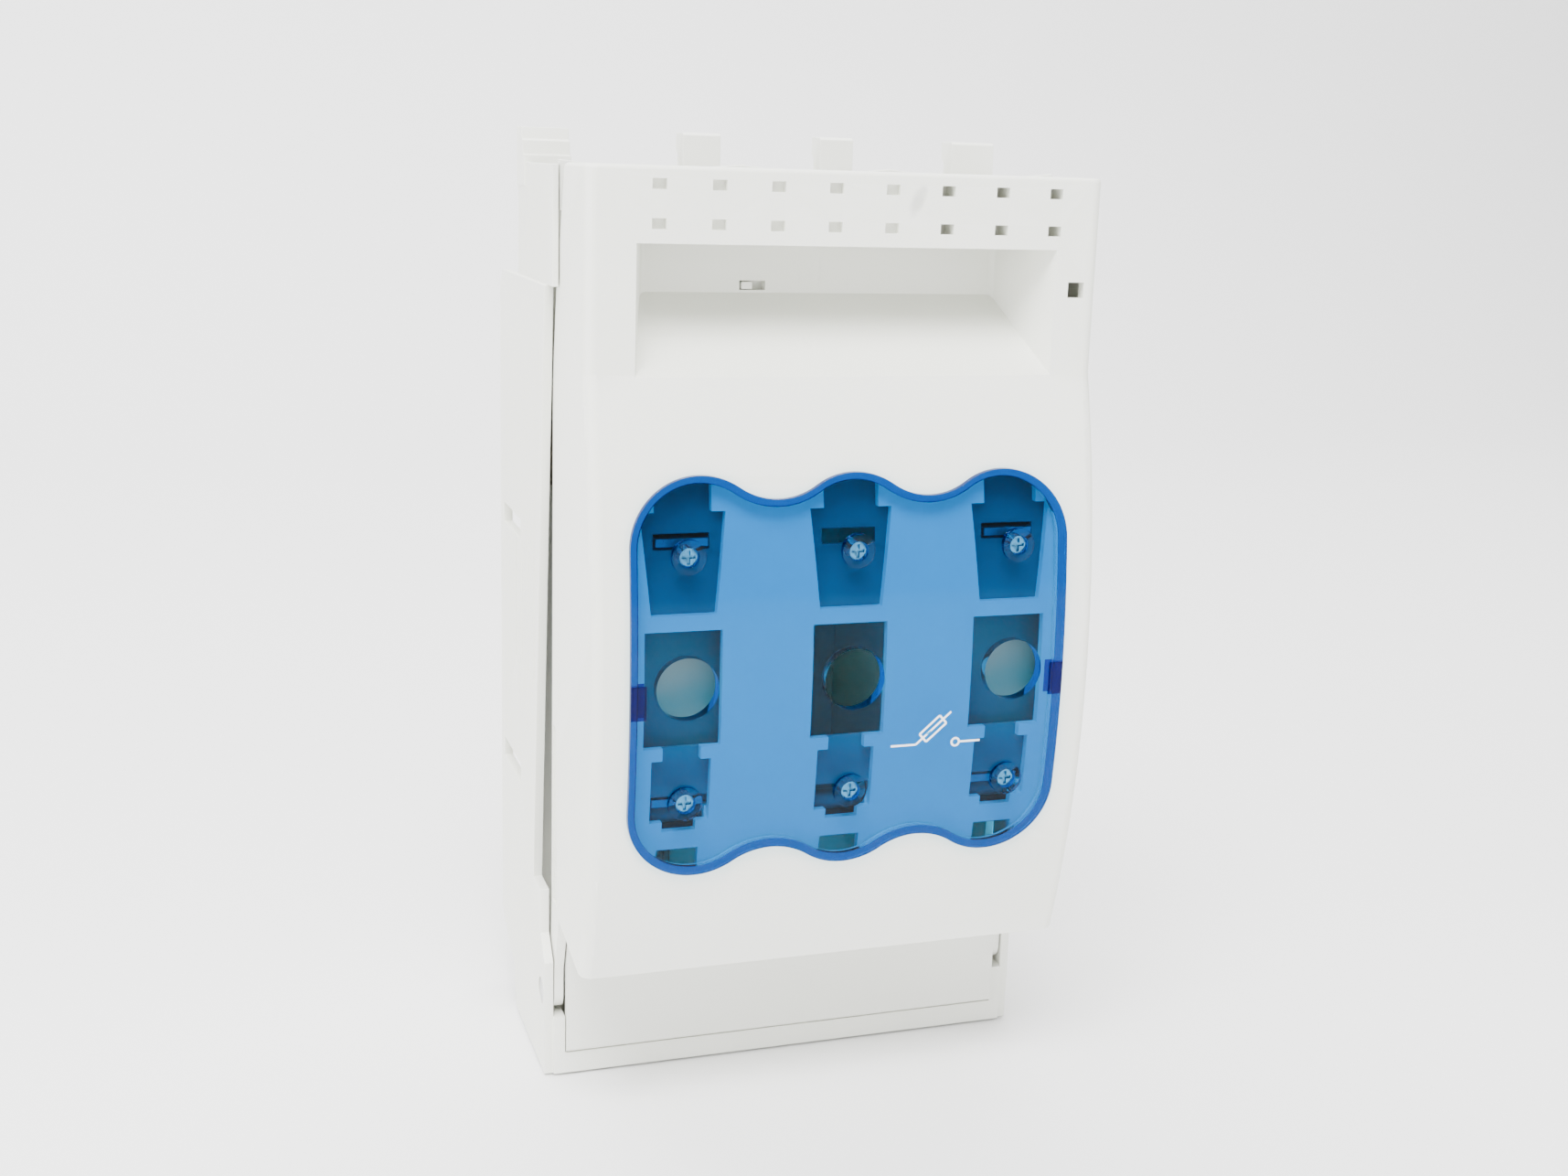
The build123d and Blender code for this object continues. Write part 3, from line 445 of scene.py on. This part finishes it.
def markStrokes():
    # the plain circuit sign for a switch with a fuse: lead, tilted fuse outline, small contact, lead
    turn = math.radians(symbol["tilt"])
    along = Vector((math.cos(turn), math.sin(turn)))
    across = Vector((-along.y, along.x))
    middle = Vector((symbol["x"], symbol["z"]))
    half = along * symbol["fuseLength"] / 2
    wide = across * symbol["fuseWidth"] / 2
    low = middle - half * symbol["lowEnd"]
    high = middle + half * symbol["highEnd"]
    corners = [middle - half - wide, middle + half - wide, middle + half + wide, middle - half + wide]
    strokes = [[low - Vector((symbol["lead"], 0)), low], [low, high]]
    strokes += [[corners[i], corners[(i + 1) % 4]] for i in range(4)]
    contact = Vector((middle.x + symbol["lead"] * symbol["gap"], low.y))
    sides = symbol["ringSides"]
    angles = [math.radians(360 / sides * i) for i in range(sides + 1)]
    ring = [contact + Vector((math.cos(a), math.sin(a))) * symbol["circle"] for a in angles]
    strokes += [[ring[i], ring[i + 1]] for i in range(sides)]
    strokes.append([contact + Vector((symbol["circle"], 0)), contact + Vector((symbol["lead"], 0))])
    return strokes


def onArch(flat, lift):
    # a flat (x, z) place put on the window's curved front
    rise = flat.y - arch["centreZ"]
    return Vector((flat.x, arch["centreY"] - math.sqrt((arch["radius"] + lift) ** 2 - rise ** 2), flat.y))


def printedSymbol():
    work = bmesh.new()
    for start, end in markStrokes():
        away = (end - start).normalized()
        beside = Vector((-away.y, away.x)) * symbol["line"] / 2
        flat = [start - beside, end - beside, end + beside, start + beside]
        top = [work.verts.new(onArch(spot, symbol["raise"])) for spot in flat]
        low = [work.verts.new(onArch(spot, symbol["raise"] - symbol["thick"])) for spot in flat]
        work.faces.new(top)
        work.faces.new(low[::-1])
        for i in range(4):
            work.faces.new([top[i], low[i], low[(i + 1) % 4], top[(i + 1) % 4]])
    bmesh.ops.recalc_face_normals(work, faces=work.faces)
    mesh = bpy.data.meshes.new("window_symbol")
    work.to_mesh(mesh)
    work.free()
    mesh.materials.append(plastic("symbol_paint", (0.85, 0.86, 0.86), 0.5, scuffs=0.1))
    mark = bpy.data.objects.new("window_symbol", mesh)
    bpy.context.scene.collection.objects.link(mark)
    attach(mark, "lid")


printedSymbol()
print("symbol printed on the window")


stage = {"floorDrop": 0.0006, "back": 1.1, "front": 1.4, "side": 2.2, "curve": 0.35, "height": 1.9,
         "curveSteps": 12, "color": (0.84, 0.84, 0.84, 1), "roughness": 0.85, "sky": 0.9}


def buildFloor():
    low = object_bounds()[0]
    floorZ = low[2] - stage["floorDrop"]
    profile = [(-stage["front"], floorZ), (stage["back"] - stage["curve"], floorZ)]
    for i in range(1, stage["curveSteps"] + 1):
        turn = math.radians(90 * i / stage["curveSteps"])
        profile.append((stage["back"] - stage["curve"] + stage["curve"] * math.sin(turn),
                        floorZ + stage["curve"] * (1 - math.cos(turn))))
    profile.append((stage["back"], floorZ + stage["height"]))
    points = [(x, y, z) for y, z in profile for x in (-stage["side"], stage["side"])]
    faces = [(2 * i, 2 * i + 1, 2 * i + 3, 2 * i + 2) for i in range(len(profile) - 1)]
    mesh = bpy.data.meshes.new("sweep")
    mesh.from_pydata(points, [], faces)
    for face in mesh.polygons:
        face.use_smooth = True
    sweep = bpy.data.objects.new("sweep", mesh)
    bpy.context.scene.collection.objects.link(sweep)
    material, tree, shader = newMaterial("pale_sweep")
    shader.inputs["Base Color"].default_value = stage["color"]
    shader.inputs["Roughness"].default_value = stage["roughness"]
    mesh.materials.append(material)


# each lamp: where it stands, what it points at, its two sizes in metres and its power in watts
lamps = {
    "keyLight": ((-0.35, -0.75, 1.25), (0, -0.05, 0.02), 0.9, 0.7, 62),
    "fillLight": ((0.9, -0.8, 0.3), (0, -0.05, 0), 0.9, 0.9, 5),
    "sideLight": ((-1.2, -0.35, 0.45), (0, -0.04, 0), 0.8, 0.8, 14),
    "backdropLight": ((0, 0.45, 1.5), (0, 1.1, 0.35), 2.0, 0.5, 40),
}


def areaLight(name, place, target, size, sizeY, power):
    light = bpy.data.lights.new(name, "AREA")
    light.shape = "RECTANGLE"
    light.size = size
    light.size_y = sizeY
    light.energy = power
    lamp = bpy.data.objects.new(name, light)
    bpy.context.scene.collection.objects.link(lamp)
    lamp.location = place
    lamp.rotation_euler = (Vector(target) - Vector(place)).to_track_quat("-Z", "Y").to_euler()


cameraPlace = {"at": (-120.7, -398.1, 94.9), "yaw": 18.68, "pitch": 13.21, "roll": 1.85, "lens": 41.98,
               "sensor": 36.0}


def buildCamera():
    yaw = math.radians(cameraPlace["yaw"])
    pitch = math.radians(cameraPlace["pitch"])
    roll = math.radians(cameraPlace["roll"])
    forward = Vector((math.sin(yaw) * math.cos(pitch), math.cos(yaw) * math.cos(pitch), -math.sin(pitch)))
    level = Vector((math.cos(yaw), -math.sin(yaw), 0))
    upright = level.cross(forward)
    right = level * math.cos(roll) + upright * math.sin(roll)
    up = upright * math.cos(roll) - level * math.sin(roll)
    lens = bpy.data.cameras.new("viewCamera")
    lens.lens = cameraPlace["lens"]
    lens.sensor_width = cameraPlace["sensor"]
    camera = bpy.data.objects.new("viewCamera", lens)
    bpy.context.scene.collection.objects.link(camera)
    turn = Matrix((right, up, -forward)).transposed().to_4x4()
    camera.matrix_world = Matrix.Translation(Vector(cameraPlace["at"]) * mm) @ turn
    bpy.context.scene.camera = camera


def buildLight():
    world = bpy.data.worlds.new("studio")
    bpy.context.scene.world = world
    world.use_nodes = True
    sky = world.node_tree.nodes["Background"]
    sky.inputs["Color"].default_value = (1, 1, 1, 1)
    sky.inputs["Strength"].default_value = stage["sky"]
    for name, values in lamps.items():
        areaLight(name, *values)


buildFloor()
buildLight()
buildCamera()
print("stage, light and camera set")
